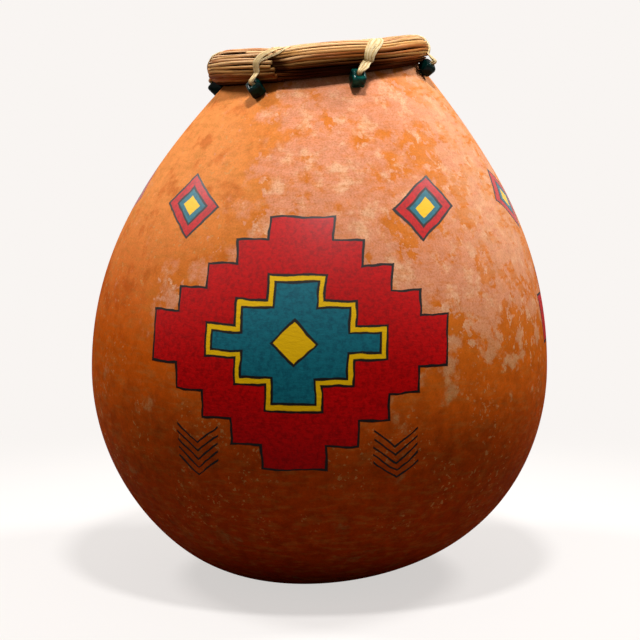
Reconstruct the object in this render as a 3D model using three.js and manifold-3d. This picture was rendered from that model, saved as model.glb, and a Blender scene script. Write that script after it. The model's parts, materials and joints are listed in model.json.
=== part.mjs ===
// Painted gourd vessel: a dried, hollow kettle gourd with its neck cut off, a bundle of dried stems laid
// round the cut rim, and six sinew lashings that hold the bundle down through holes drilled in the wall.
// Each lashing carries one bead outside the wall, which turns on it, and is tied off inside with a knot.
// Millimetres, +Z up, origin on the table under the middle of the belly, front of the vessel towards -Y.
import * as THREE from "three";
import { mergeVertices } from "three/addons/utils/BufferGeometryUtils.js";
import { RoundedBoxGeometry } from "three/addons/geometries/RoundedBoxGeometry.js";
import Module from "manifold-3d";

const wasm = await Module();
wasm.setup();

// Gourd shell
const BELLY_RADIUS = 120;
const BELLY_HEIGHT = 110;
const BASE_RADIUS = 31;
const RIM_RADIUS = 49.5;
const RIM_HEIGHT = 265;
const WALL = 5.5;
const BASE_RISE = THREE.MathUtils.degToRad(11.5); // how steeply the underside leaves the flat base
const NECK_SLOPE = THREE.MathUtils.degToRad(41); // of the neck from the vertical, at the rim
const RIM_TILT = THREE.MathUtils.degToRad(6.5); // the cut is not level: its right side is the higher one
const NECK_LEAN = 6; // how far the neck grew to the right of the belly
const BASE_LEAN = 8.5; // how far the flat base lies to the left of the belly
// Lengths of the curve handles, which say how full each stretch of the outline is
const UNDERSIDE_FULLNESS = 65;
const LOWER_BELLY_FULLNESS = 43;
const UPPER_BELLY_FULLNESS = 66;
const SHOULDER_FULLNESS = 58;

// Stem bundle on the rim
const BUNDLE_RADIUS = 9.2; // where it is thickest, to the left of the front
const BUNDLE_OVERHANG = 0.5; // of the bundle's middle line past the outer edge of the rim
const THIN_SHARE = 0.82; // of that radius, on the opposite side of the rim
const THICK_SIDE = THREE.MathUtils.degToRad(-60);
const LASH_PINCH = 0.06; // share of the radius that a lashing pulls in
const PINCH_SPREAD = THREE.MathUtils.degToRad(9);
const STEM_RADIUS = 1.15;
const STEM_SPACING = 0.4; // between the stems of the outer layer
const CORE_SPACING = 0.35; // between the outer layer and the packed stems inside it
const BUNDLE_TURN = -3; // stems that the bundle twists past in one round of the rim, downwards at the front
const SPLICE_ANGLE = THREE.MathUtils.degToRad(-20); // where the stems begin and end
const SPLICE_STAGGER = THREE.MathUtils.degToRad(9);
const SPLICE_GAP = THREE.MathUtils.degToRad(1.5);

// Lashings, beads and knots. Angles run round the rim from the front towards the right, in degrees.
const HOLE_ANGLES = [-108, -39, 13, 69, 131, 193]; // drilled by hand, so not quite evenly
const CREST_ANGLES = [-84, -22, 34, 88, 147, 208]; // where each lashing crosses the top of the bundle
const SIDE_SWING = 0.45; // share of its way from hole to crest that a lashing has swung at the bundle's side
const DOWN_SWING = 0.6; // and where it passes the rim's edge on its way down inside
const LASH_HALF_WIDTH = 3.1;
const LASH_HALF_THICKNESS = 0.6;
const LASH_LIFT = 0.5; // between the lashing and the bundle
const CORD_RADIUS = 1.4; // of the same fibres drawn together to pass through the bead and the wall
const CORD_TAIL = 0.7; // of the cord past the inside of the wall, up to its knot
const HOLE_CLEARANCE = 0.5;
const BEAD_SIZE = 7.6;
const BEAD_ROUNDING = 1.7;
const BEAD_SEAT = 0.5; // between the bead and the wall
const BEAD_CLEARANCE = 0.4; // between the bead, however it is turned, and the bundle above it
const BORE_CLEARANCE = 0.4;
const BEAD_STEP = THREE.MathUtils.degToRad(45); // how much further each bead stands turned than the last
const KNOT_RADIUS = 2.6;
const SEAT_GAP = 0.35; // between pieces that rest on each other

// How finely the round shapes are divided
const GOURD_SEGMENTS = 48;
const OUTER_STEPS = 10; // for each of the two stretches of the outline
const INNER_STEPS = 7;
const STEM_STEPS = 36;
const STEM_SIDES = 5;
const CORE_SIDES = 9;
const LASH_STEPS = 32;
const LASH_SIDES = 6;
const HOLE_SIDES = 14;
const HALVINGS = 40; // of a search interval

const MATERIALS = {
  gourd: new THREE.MeshStandardMaterial({ color: 0xc4762f, roughness: 0.45, metalness: 0 }),
  stem: new THREE.MeshStandardMaterial({ color: 0x8a5a34, roughness: 0.6, metalness: 0 }),
  sinew: new THREE.MeshStandardMaterial({ color: 0xd9bd84, roughness: 0.5, metalness: 0 }),
  bead: new THREE.MeshStandardMaterial({ color: 0x0c4a45, roughness: 0.15, metalness: 0 }),
};

// Solids: joining and cutting closed meshes

function toSolid(geometry) {
  const bare = geometry.clone();
  bare.deleteAttribute("normal");
  bare.deleteAttribute("uv");
  const merged = mergeVertices(bare, 1e-3);
  const corners = [];
  for (let i = 0; i < merged.index.count; i += 3) {
    const triangle = [0, 1, 2].map((k) => merged.index.getX(i + k));
    if (new Set(triangle).size === 3) corners.push(...triangle);
  }
  return new wasm.Manifold(
    new wasm.Mesh({
      numProp: 3,
      vertProperties: new Float32Array(merged.attributes.position.array),
      triVerts: new Uint32Array(corners),
    }),
  );
}

function toGeometry(solid) {
  const mesh = solid.getMesh();
  const geometry = new THREE.BufferGeometry();
  geometry.setAttribute("position", new THREE.BufferAttribute(mesh.vertProperties, 3));
  geometry.setIndex(new THREE.BufferAttribute(mesh.triVerts, 1));
  geometry.computeVertexNormals();
  return geometry;
}

// A closed skin over rings of points. Each ring turns right-handed about the way that the rings follow.
function loft(rings) {
  const sides = rings[0].length;
  const index = [];
  for (let i = 0; i + 1 < rings.length; i++) {
    for (let j = 0; j < sides; j++) {
      const here = i * sides + j;
      const beside = i * sides + ((j + 1) % sides);
      index.push(here, beside, beside + sides, here, beside + sides, here + sides);
    }
  }
  const last = (rings.length - 1) * sides;
  for (let j = 1; j + 1 < sides; j++) {
    index.push(0, j + 1, j);
    index.push(last, last + j, last + j + 1);
  }
  const geometry = new THREE.BufferGeometry().setFromPoints(rings.flat());
  geometry.setIndex(index);
  geometry.computeVertexNormals();
  return geometry;
}

// Gourd outline: two smooth stretches that meet at the belly, then straight on past the rim to be cut

const downSlope = new THREE.Vector2(Math.sin(NECK_SLOPE), -Math.cos(NECK_SLOPE));
const rimCorner = new THREE.Vector2(RIM_RADIUS, RIM_HEIGHT);
const NECK_SPARE = WALL + 2 * RIM_RADIUS * Math.sin(RIM_TILT); // of neck above the middle of the slanting cut
const outline = new THREE.CurvePath();
outline.add(
  new THREE.CubicBezierCurve(
    new THREE.Vector2(BASE_RADIUS, 0),
    new THREE.Vector2(
      BASE_RADIUS + UNDERSIDE_FULLNESS * Math.cos(BASE_RISE),
      UNDERSIDE_FULLNESS * Math.sin(BASE_RISE),
    ),
    new THREE.Vector2(BELLY_RADIUS, BELLY_HEIGHT - LOWER_BELLY_FULLNESS),
    new THREE.Vector2(BELLY_RADIUS, BELLY_HEIGHT),
  ),
);
outline.add(
  new THREE.CubicBezierCurve(
    new THREE.Vector2(BELLY_RADIUS, BELLY_HEIGHT),
    new THREE.Vector2(BELLY_RADIUS, BELLY_HEIGHT + UPPER_BELLY_FULLNESS),
    rimCorner.clone().addScaledVector(downSlope, SHOULDER_FULLNESS),
    rimCorner,
  ),
);
outline.add(new THREE.LineCurve(rimCorner, rimCorner.clone().addScaledVector(downSlope, -NECK_SPARE)));

// Outline points with the wall taken off them square to the surface, for a depth of 0 or of the wall
function outlinePoints(steps, depth) {
  return outline.curves.flatMap((curve, k) => {
    const parts = curve.isLineCurve ? 1 : steps;
    const first = k === 0 ? 0 : 1;
    return Array.from({ length: parts + 1 - first }, (_, i) => {
      const t = (i + first) / parts;
      const way = curve.getTangent(t);
      return curve.getPoint(t).add(new THREE.Vector2(-way.y, way.x).multiplyScalar(depth));
    });
  });
}

// How far the middle of the gourd lies to the right at each height
function lean(z) {
  if (z > BELLY_HEIGHT) return NECK_LEAN * ((z - BELLY_HEIGHT) / (RIM_HEIGHT - BELLY_HEIGHT)) ** 2;
  return -BASE_LEAN * ((BELLY_HEIGHT - z) / BELLY_HEIGHT) ** 6;
}

const FINE_STEPS = 80;
const fineOutline = outlinePoints(FINE_STEPS, 0);

// Radius of the outer surface at a height, above the belly
function gourdRadius(z) {
  const k = fineOutline.findIndex((p, i) => i > FINE_STEPS && p.y >= z);
  const above = k < 0 ? fineOutline.length - 1 : k;
  const [low, high] = [fineOutline[above - 1], fineOutline[above]];
  return THREE.MathUtils.mapLinear(z, low.y, high.y, low.x, high.x);
}

// The rim's own frame: its XY plane is the slanting cut
const rim = new THREE.Group();
rim.position.set(lean(RIM_HEIGHT), 0, RIM_HEIGHT);
rim.rotation.y = -RIM_TILT;
rim.updateMatrixWorld(true);

// Directions round the rim, in its frame: 0 faces the front and a quarter turn faces right
const outward = (angle) => new THREE.Vector3(Math.sin(angle), -Math.cos(angle), 0);
const sideways = (angle) => new THREE.Vector3(Math.cos(angle), Math.sin(angle), 0);
const UP = new THREE.Vector3(0, 0, 1);

// How far a point of the rim's frame lies outside the gourd's outer surface, level with it
function outsideBy(local) {
  const p = local.clone().applyMatrix4(rim.matrixWorld);
  return Math.hypot(p.x - lean(p.z), p.y) - gourdRadius(p.z);
}

// The point of the outer surface in that direction, so far below the cut, and the way it faces
function wallAt(angle, depth) {
  const at = (r) => outward(angle).multiplyScalar(r).addScaledVector(UP, -depth);
  let [inside, outside] = [0, 2 * BELLY_RADIUS];
  for (let i = 0; i < HALVINGS; i++) {
    const middle = (inside + outside) / 2;
    if (outsideBy(at(middle)) < 0) inside = middle;
    else outside = middle;
  }
  const point = at(inside);
  const probe = WALL / 10;
  const slope = ["x", "y", "z"].map((axis) => {
    const [more, less] = [point.clone(), point.clone()];
    more[axis] += probe;
    less[axis] -= probe;
    return outsideBy(more) - outsideBy(less);
  });
  return { point, normal: new THREE.Vector3(...slope).normalize() };
}

// Stem bundle: its middle line is a ring over the rim, on which it rests all the way round

const rimMiddle = (wallAt(Math.PI / 2, 0).point.x + wallAt(-Math.PI / 2, 0).point.x) / 2;
const coilCentre = new THREE.Vector3(rimMiddle, 0, 0);
const COIL_RADIUS = RIM_RADIUS + BUNDLE_OVERHANG;
const crests = CREST_ANGLES.map(THREE.MathUtils.degToRad);

// Radius of the bundle at an angle round the rim, thinner on one side and pulled in by each lashing
function bundleRadius(angle) {
  const thinning = ((1 - THIN_SHARE) * (1 - Math.cos(angle - THICK_SIDE))) / 2;
  const pulls = crests.map((crest) => {
    const apart = THREE.MathUtils.euclideanModulo(angle - crest + Math.PI, 2 * Math.PI) - Math.PI;
    return Math.exp(-0.5 * (apart / PINCH_SPREAD) ** 2);
  });
  return BUNDLE_RADIUS * (1 - thinning) * (1 - LASH_PINCH * Math.max(...pulls));
}

const bundleHeight = (angle) => SEAT_GAP + bundleRadius(angle);

// Point near the bundle: a distance from its middle line, and an angle from its outer side upwards
function bundlePoint(angle, distance, around) {
  return coilCentre
    .clone()
    .addScaledVector(outward(angle), COIL_RADIUS + distance * Math.cos(around))
    .addScaledVector(UP, bundleHeight(angle) + distance * Math.sin(around));
}

// Lashing places: the hole in the wall, just so low that the bead standing on it turns clear of the bundle

const BEAD_STAND = BEAD_SIZE / 2 + BEAD_SEAT; // of the bead's middle off the wall
const BEAD_SWEEP = (BEAD_SIZE / 2 - BEAD_ROUNDING) * Math.SQRT2 + BEAD_ROUNDING; // radius that it turns in

function holeAt(angle, depth) {
  const { point, normal } = wallAt(angle, depth);
  const onAxis = (distance) => point.clone().addScaledVector(normal, distance);
  return { angle, normal, onAxis, bead: onAxis(BEAD_STAND) };
}

function beadRoom({ bead }) {
  const fromCentre = bead.clone().sub(coilCentre);
  const angle = Math.atan2(fromCentre.x, -fromCentre.y);
  const across = Math.hypot(fromCentre.x, fromCentre.y) - COIL_RADIUS;
  const below = bundleHeight(angle) - fromCentre.z;
  return Math.hypot(across, below) - bundleRadius(angle) - BEAD_SWEEP;
}

const lashings = HOLE_ANGLES.map((degrees, i) => {
  const angle = THREE.MathUtils.degToRad(degrees);
  let [shallow, deep] = [0, 4 * BEAD_SIZE];
  for (let step = 0; step < HALVINGS; step++) {
    const middle = (shallow + deep) / 2;
    if (beadRoom(holeAt(angle, middle)) < BEAD_CLEARANCE) shallow = middle;
    else deep = middle;
  }
  const hole = holeAt(angle, deep);
  return {
    ...hole,
    crest: crests[i],
    innerEnd: hole.onAxis(-WALL - CORD_TAIL),
    knot: hole.onAxis(-WALL - CORD_TAIL - SEAT_GAP - KNOT_RADIUS),
  };
});

// Gourd shell: turned from its outline, leaned, cut along the rim and drilled

function makeGourd() {
  const outer = outlinePoints(OUTER_STEPS, 0);
  const inner = outlinePoints(INNER_STEPS, WALL);
  const profile = [
    new THREE.Vector2(0, 0),
    ...outer,
    ...inner.reverse(),
    new THREE.Vector2(0, inner.at(-1).y),
  ];
  const turned = new THREE.LatheGeometry(profile, GOURD_SEGMENTS).rotateX(Math.PI / 2);
  const place = turned.attributes.position;
  for (let i = 0; i < place.count; i++) place.setX(i, place.getX(i) + lean(place.getZ(i)));

  const reach = 4 * RIM_RADIUS;
  const aboveRim = new THREE.BoxGeometry(reach, reach, reach).translate(0, 0, reach / 2);
  const drills = lashings.map(({ normal, onAxis }) => {
    const length = 3 * WALL;
    const drill = new THREE.CylinderGeometry(
      CORD_RADIUS + HOLE_CLEARANCE,
      CORD_RADIUS + HOLE_CLEARANCE,
      length,
      HOLE_SIDES,
    );
    drill.applyQuaternion(new THREE.Quaternion().setFromUnitVectors(new THREE.Vector3(0, 1, 0), normal));
    const middle = onAxis(-WALL / 2);
    return drill.translate(middle.x, middle.y, middle.z);
  });
  const cutters = [aboveRim, ...drills].map((g) => toSolid(g.applyMatrix4(rim.matrixWorld)));
  const shell = cutters.reduce((left, cutter) => left.subtract(cutter), toSolid(turned));
  return toGeometry(shell);
}

// Stems: each runs once round the rim, from the splice back to it

function makeStem({ from, to, offset, around, turn, radius, sides }) {
  const rings = Array.from({ length: STEM_STEPS + 1 }, (_, i) => {
    const angle = THREE.MathUtils.lerp(from, to, i / STEM_STEPS);
    const share = bundleRadius(angle) / BUNDLE_RADIUS;
    const twisted = around + (turn * (angle - SPLICE_ANGLE)) / (2 * Math.PI);
    const middle = bundlePoint(angle, share * offset, twisted);
    return Array.from({ length: sides }, (_, j) => {
      const corner = twisted - (j * 2 * Math.PI) / sides;
      return middle
        .clone()
        .addScaledVector(outward(angle), share * radius * Math.cos(corner))
        .addScaledVector(UP, share * radius * Math.sin(corner));
    });
  });
  return loft(rings);
}

const LAYER_RADIUS = BUNDLE_RADIUS - STEM_RADIUS; // of the outer layer's middle lines
const STEM_COUNT = Math.floor(Math.PI / Math.asin((STEM_RADIUS + STEM_SPACING / 2) / LAYER_RADIUS));

// Stems begin and end here and there over the splice, in no order round the bundle
function spliceAt(k) {
  const stride = 7;
  const spread = THREE.MathUtils.euclideanModulo(k * stride, STEM_COUNT) / STEM_COUNT - 0.5;
  return SPLICE_ANGLE + SPLICE_STAGGER * spread;
}

function makeOuterStem(k) {
  const pitch = (2 * Math.PI) / STEM_COUNT;
  return makeStem({
    from: spliceAt(k),
    to: spliceAt(k + BUNDLE_TURN) + 2 * Math.PI - SPLICE_GAP,
    offset: LAYER_RADIUS,
    around: k * pitch,
    turn: BUNDLE_TURN * pitch,
    radius: STEM_RADIUS,
    sides: STEM_SIDES,
  });
}

function makeCore() {
  return makeStem({
    from: SPLICE_ANGLE,
    to: SPLICE_ANGLE + 2 * Math.PI - SPLICE_GAP,
    offset: 0,
    around: 0,
    turn: 0,
    radius: LAYER_RADIUS - STEM_RADIUS - CORE_SPACING,
    sides: CORE_SIDES,
  });
}

// Lashing: from the knot out through wall and bead, over the bundle, and down inside to the knot again

const cord = (point) => ({ point, halfWidth: CORD_RADIUS, halfThickness: CORD_RADIUS });
const band = (point) => ({ point, halfWidth: LASH_HALF_WIDTH, halfThickness: LASH_HALF_THICKNESS });
const tail = (point) => ({ point, halfWidth: CORD_RADIUS, halfThickness: LASH_HALF_THICKNESS });

function makeLashing({ angle, crest, onAxis, bead, innerEnd, knot }) {
  // Over the bundle, from its outer side to its inner side, swinging towards the crest on the way
  const swing = (share) => THREE.MathUtils.lerp(angle, crest, share);
  const overBundle = [-10, 20, 50, 80, 110, 140, 170].map((degrees) => {
    const around = THREE.MathUtils.degToRad(degrees);
    const bandAngle = swing(THREE.MathUtils.lerp(SIDE_SWING, 1, Math.sin(Math.min(around, Math.PI / 2))));
    const clear = bundleRadius(bandAngle) + LASH_LIFT + LASH_HALF_THICKNESS;
    return band(bundlePoint(bandAngle, clear, around));
  });

  // Down inside, clear of the bundle and of the rim's inner edge, whichever stands further in
  const downAngle = swing(DOWN_SWING);
  const edge = wallAt(downAngle, 0);
  const wallInside = edge.point.length() - WALL / edge.normal.dot(outward(downAngle));
  const bundleInside = bundlePoint(downAngle, bundleRadius(downAngle), Math.PI).dot(outward(downAngle));
  const clearRadius = Math.min(wallInside, bundleInside) - LASH_LIFT - LASH_HALF_THICKNESS;
  const edgePoint = outward(downAngle).multiplyScalar(clearRadius);
  const toEdge = edgePoint.clone().sub(knot).normalize();

  const beadTop = BEAD_STAND + BEAD_SIZE / 2;
  const stations = [
    cord(innerEnd),
    cord(onAxis(-WALL / 2)),
    cord(onAxis(SEAT_GAP)),
    cord(bead),
    cord(onAxis(beadTop)),
    cord(onAxis(beadTop + CORD_RADIUS)),
    ...overBundle,
    band(edgePoint),
    tail(knot.clone().addScaledVector(toEdge, KNOT_RADIUS + SEAT_GAP)),
  ];

  const middle = new THREE.CatmullRomCurve3(stations.map(({ point }) => point));
  const rings = Array.from({ length: LASH_STEPS + 1 }, (_, i) => {
    const place = (i / LASH_STEPS) * (stations.length - 1);
    const before = stations[Math.floor(place)];
    const after = stations[Math.ceil(place)];
    const size = (key) => THREE.MathUtils.lerp(before[key], after[key], place % 1);
    const point = middle.getPoint(i / LASH_STEPS);
    const way = middle.getTangent(i / LASH_STEPS);
    const across = sideways(Math.atan2(point.x, -point.y)).projectOnPlane(way).normalize();
    const through = way.clone().cross(across);
    return Array.from({ length: LASH_SIDES }, (_, j) => {
      const corner = (j * 2 * Math.PI) / LASH_SIDES;
      return point
        .clone()
        .addScaledVector(across, size("halfWidth") * Math.cos(corner))
        .addScaledVector(through, size("halfThickness") * Math.sin(corner));
    });
  });
  return loft(rings);
}

// Bead: a block of stone with rounded edges, bored along Z

function makeBead() {
  const block = new RoundedBoxGeometry(BEAD_SIZE, BEAD_SIZE, BEAD_SIZE, 1, BEAD_ROUNDING);
  const boreRadius = CORD_RADIUS + BORE_CLEARANCE;
  const bore = new THREE.CylinderGeometry(boreRadius, boreRadius, 2 * BEAD_SIZE, HOLE_SIDES);
  return toGeometry(toSolid(block).subtract(toSolid(bore.rotateX(Math.PI / 2))));
}

// Assembly

const vessel = new THREE.Group();
vessel.add(rim);

function addPiece(parent, name, geometry, material) {
  const mesh = new THREE.Mesh(geometry, material.clone());
  mesh.name = name;
  parent.add(mesh);
  return mesh;
}

addPiece(vessel, "gourd_shell", makeGourd(), MATERIALS.gourd);
addPiece(rim, "stem_core", makeCore(), MATERIALS.stem);
for (let k = 0; k < STEM_COUNT; k++) {
  addPiece(rim, `rim_stem_${k + 1}`, makeOuterStem(k), MATERIALS.stem);
}

lashings.forEach((lashing, i) => {
  addPiece(rim, `lashing_${i + 1}`, makeLashing(lashing), MATERIALS.sinew);

  const bead = addPiece(rim, `bead_${i + 1}`, makeBead(), MATERIALS.bead);
  bead.position.copy(lashing.bead);
  bead.quaternion.setFromUnitVectors(UP, lashing.normal);
  bead.rotateZ(lashing.angle + i * BEAD_STEP);

  const knot = addPiece(rim, `knot_${i + 1}`, new THREE.IcosahedronGeometry(KNOT_RADIUS, 1), MATERIALS.sinew);
  knot.position.copy(lashing.knot);
});

export default vessel;
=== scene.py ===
# %% [markdown]
# # A painted gourd vessel
# The object is a dried kettle gourd, about 24 cm across, cut open at the neck, painted and varnished.
# A bundle of dried stems lies round the cut rim. Six sinew lashings hold it down through holes in the
# wall, and each lashing carries one dark green bead that can turn on it.
# A measured model, the frame, already says where each piece sits and what moves. This lesson dresses it:
# every step makes one piece as a fine mesh with a finish of its own, and hangs it on the frame.

# %% Load the frame
import json
import math
from collections import namedtuple
from functools import partialmethod
from types import SimpleNamespace

import bmesh
import bpy
import numpy as np
from mathutils import Matrix, Vector


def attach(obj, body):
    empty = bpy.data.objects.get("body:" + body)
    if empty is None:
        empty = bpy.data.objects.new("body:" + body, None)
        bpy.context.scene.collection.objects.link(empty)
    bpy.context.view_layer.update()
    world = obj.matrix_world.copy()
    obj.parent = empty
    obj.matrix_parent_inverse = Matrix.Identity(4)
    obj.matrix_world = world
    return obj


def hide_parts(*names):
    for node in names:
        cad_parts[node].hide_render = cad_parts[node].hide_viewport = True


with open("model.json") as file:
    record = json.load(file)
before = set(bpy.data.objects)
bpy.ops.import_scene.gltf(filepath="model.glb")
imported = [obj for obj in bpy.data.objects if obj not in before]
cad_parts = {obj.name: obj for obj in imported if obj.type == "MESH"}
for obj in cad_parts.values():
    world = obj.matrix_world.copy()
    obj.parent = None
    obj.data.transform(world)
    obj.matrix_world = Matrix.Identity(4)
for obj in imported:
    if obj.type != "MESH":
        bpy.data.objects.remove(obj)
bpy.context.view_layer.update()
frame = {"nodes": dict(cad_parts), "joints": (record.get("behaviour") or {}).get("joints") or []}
MM = 0.001

# %% [markdown]
# ## Camera and lamps
# The vessel is seen from a little above its middle, with a long lens, so that it looks almost flat-on.
# A camera could be moved by hand until the picture fits, but a place, an aim and a lens in three values
# are easier to read and to change.
# One lamp stands high in front of the vessel, small enough to give the stem bundle a clear shadow on the
# shoulder. Two softer ones stand high at either side, a little behind, and keep the edges from going dark.

# %% Camera
CAMERA_PLACE = Vector((0, -1.2, 0.3))
CAMERA_AIM = Vector((0.0003, 0, 0.135))
CAMERA_LENS = 128.9


def add_object(name, data):
    """A new object, linked into the scene."""
    made = bpy.data.objects.new(name, data)
    bpy.context.scene.collection.objects.link(made)
    return made


def look(thing, place, way):
    """Puts a camera or a lamp in its place and turns it along a way."""
    thing.location = place
    thing.rotation_euler = way.to_track_quat("-Z", "Y").to_euler()


camera = add_object("camera", bpy.data.cameras.new("camera"))
camera.data.lens = CAMERA_LENS
look(camera, CAMERA_PLACE, CAMERA_AIM - CAMERA_PLACE)
bpy.context.scene.camera = camera
print("camera:", round((CAMERA_AIM - CAMERA_PLACE).length, 3), "m away")

# %% Lamps
LAMP_AIM = Vector((0, 0, 0.15))
LAMP_DISTANCE = 1.1
# Each lamp's way from the vessel, its diameter in metres and its power in watts
LAMPS = {
    "front_lamp": ((0.05, -0.37, 0.93), 0.15, 9.0),
    "left_lamp": ((-0.62, 0.16, 0.76), 0.3, 6.5),
    "right_lamp": ((0.62, 0.16, 0.76), 0.3, 7.5),
}

for name, (way, size, power) in LAMPS.items():
    way = Vector(way).normalized()
    lamp = add_object(name, bpy.data.lights.new(name, "AREA"))
    lamp.data.shape = "DISK"
    lamp.data.size = size
    lamp.data.energy = power
    look(lamp, LAMP_AIM + LAMP_DISTANCE * way, -way)
bpy.context.scene.view_settings.view_transform = "Standard"
print("lamps:", list(LAMPS))

# %% [markdown]
# ## Writing shaders as sums
# A finish is worked out from numbers that vary over the surface: how far round a point is, how high, and
# how strong a noise is there. Each sum is a Math node in the shader. Placing such nodes one by one makes
# long code, so the class below wraps a node's output and lets Python's own signs make the nodes.


# %% Shader arithmetic
def plug(value, socket):
    """Links a field to a socket, or sets the socket to a plain value."""
    if isinstance(value, Field):
        socket.id_data.links.new(value.socket, socket)
    else:
        socket.default_value = value


def add_node(tree, kind, inputs=None, **settings):
    """A new shader node, with its settings made and its inputs plugged in."""
    node = tree.nodes.new("ShaderNode" + kind)
    for name, value in settings.items():
        setattr(node, name, value)
    for socket, value in (inputs or {}).items():
        plug(value, node.inputs[socket])
    return node


class Field:
    """What a shader node gives at each point of a surface, such as a number or a colour."""

    def __init__(self, node, output=0):
        self.socket = node.outputs[output]
        self.tree = node.id_data

    def maths(self, operation, *others):
        inputs = dict(enumerate((self, *others)))
        return Field(add_node(self.tree, "Math", inputs, operation=operation))

    __add__ = partialmethod(maths, "ADD")
    __sub__ = partialmethod(maths, "SUBTRACT")
    __mul__ = partialmethod(maths, "MULTIPLY")
    __truediv__ = partialmethod(maths, "DIVIDE")
    __abs__ = partialmethod(maths, "ABSOLUTE")
    least = partialmethod(maths, "MINIMUM")
    most = partialmethod(maths, "MAXIMUM")

    def __rsub__(self, other):
        return self * -1 + other

    def wrap(self, low, high):
        return self.maths("WRAP", high, low)

    def rise(self, low, high):
        """0 up to low, 1 from high on, and a smooth step between. It falls instead if high is the lower."""
        inputs = {"Value": self, "From Min": low, "From Max": high}
        return Field(add_node(self.tree, "MapRange", inputs, interpolation_type="SMOOTHSTEP"), "Result")


print("fields can be added, multiplied and compared")


# %% Vectors and noises
def split(vector):
    """The three parts of a vector."""
    node = add_node(vector.tree, "SeparateXYZ", {0: vector})
    return [Field(node, part) for part in range(3)]


def gather(x, y, z):
    """A vector from three numbers."""
    return Field(add_node(x.tree, "CombineXYZ", {0: x, 1: y, 2: z}))


def away(x, y):
    """How far a point lies from the middle, seen from above."""
    return (x * x + y * y).maths("SQRT")


def cloud(where, size, detail=3.0, roughness=0.55, output="Fac"):
    """A soft noise, from 0 to 1, whose blobs are about so large."""
    inputs = {"Vector": where, "Scale": 1 / size, "Detail": detail, "Roughness": roughness}
    return Field(add_node(where.tree, "TexNoise", inputs), output)


def flat_cloud(where, flatness, size, roughness=0.6):
    """A noise whose blobs are so many times flatter than wide, or drawn out upright if that is under 1."""
    x, y, z = split(where)
    return cloud(gather(x, y, z * flatness), size, 4, roughness)


def attribute(tree, name, output):
    """What the mesh says about each of its points under that name."""
    return Field(add_node(tree, "Attribute", attribute_name=name), output)


def place_on_object(tree):
    """A point's place on the object, in metres."""
    return Field(add_node(tree, "TexCoord"), "Object")


print("noises are ready")


# %% Colours and finishes
def srgb(red, green, blue):
    """A colour as seen on a screen, in steps of 255, turned into the light values that shaders use."""
    screen = np.array((red, green, blue)) / 255
    light = np.where(screen <= 0.04045, screen / 12.92, ((screen + 0.055) / 1.055) ** 2.4)
    return (*light, 1.0)


def mix(share, under, over):
    """One colour laid over another where share is 1."""
    return Field(add_node(share.tree, "Mix", {0: share, 6: under, 7: over}, data_type="RGBA"), 2)


def layered(colour, *layers):
    """Colours laid one over another, each with the share that it covers."""
    for share, over in layers:
        colour = mix(share, colour, over)
    return colour


def shade(colour, strength):
    """A colour made lighter or darker."""
    inputs = {0: colour, "Scale": strength}
    return Field(add_node(colour.tree, "VectorMath", inputs, operation="SCALE"))


def set_sockets(shader, **values):
    """Sets or links a shader's sockets by their names, with _ for each space."""
    for name, value in values.items():
        plug(value, shader.inputs[name.replace("_", " ")])


def new_finish(name, **values):
    """A material with its main shader, and values that are the same all over set on that shader."""
    material = bpy.data.materials.new(name)
    material.use_nodes = True
    shader = material.node_tree.nodes["Principled BSDF"]
    set_sockets(shader, **values)
    return material, material.node_tree, shader


def relief(shader, height, depth):
    """Small ups and downs that catch the light: height runs from 0 to 1, over so many metres."""
    bump = add_node(shader.id_data, "Bump", {"Height": height, "Distance": depth, "Strength": 1.0})
    set_sockets(shader, Normal=Field(bump, "Normal"))


print("colours and finishes are ready")

# %% [markdown]
# ## Floor and background
# The background is plain and nearly white. More lamps on a white floor would do that, but would also throw
# light up under the gourd. So what the camera and reflections see of the floor is mostly its own pale
# colour, with a part that is lit and keeps the vessel's shadow. Light that bounces off it meets a darker
# floor, and the underside of the gourd keeps its deep shade. The world adds a weak light from all sides.

# %% Floor
PALE = (0.947, 0.913, 0.888, 1.0)
BOUNCE = (0.12, 0.09, 0.07, 1.0)
LIT_SHARE = 0.35
LIT_NEAR, LIT_FAR = 0.2, 0.45
FLOOR_RADIUS = 6.0
FLOOR_CORNERS = 96


def round_turn(count):
    """Angles spread evenly over a full turn."""
    return np.arange(count) * math.tau / count


def outward(angle):
    """The level way out from the middle at an angle, which starts at the front and runs right."""
    return np.stack((np.sin(angle), -np.cos(angle), np.zeros_like(angle)), axis=-1)


def angle_of(points):
    """The reverse: the angle at which points lie."""
    return np.arctan2(points[..., 0], -points[..., 1])


def ray_kinds(tree):
    """1 for rays from the camera, and 1 for those and for rays in reflections and through glass."""
    node = add_node(tree, "LightPath")
    seen, glossy, through = (Field(node, f"Is {kind} Ray") for kind in ("Camera", "Glossy", "Transmission"))
    return seen, seen.most(glossy).most(through)


def floor_finish():
    """A matt floor whose pale colour also shines a little to the camera, the more the farther away."""
    material, tree, shader = new_finish("pale_floor", Roughness=0.9)
    seen, mirrored = ray_kinds(tree)
    set_sockets(shader, Base_Color=mix(mirrored, BOUNCE, PALE))
    x, y, _ = split(place_on_object(tree))
    lit = away(x, y).rise(LIT_FAR, LIT_NEAR) * LIT_SHARE
    shine = add_node(tree, "Emission", {"Color": PALE})
    both = add_node(tree, "MixShader", {0: seen - seen * lit, 1: Field(shader), 2: Field(shine)})
    plug(Field(both), tree.nodes["Material Output"].inputs["Surface"])
    return material


floor_mesh = bpy.data.meshes.new("floor")
floor_edge = FLOOR_RADIUS * outward(round_turn(FLOOR_CORNERS))
floor_mesh.from_pydata(floor_edge.tolist(), [], [range(FLOOR_CORNERS)])
floor_mesh.materials.append(floor_finish())
floor = add_object("floor", floor_mesh)
print("floor:", FLOOR_RADIUS, "m in radius")

# %% World
SKY_LIGHT = (0.14, 0.13, 0.12, 1.0)

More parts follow.
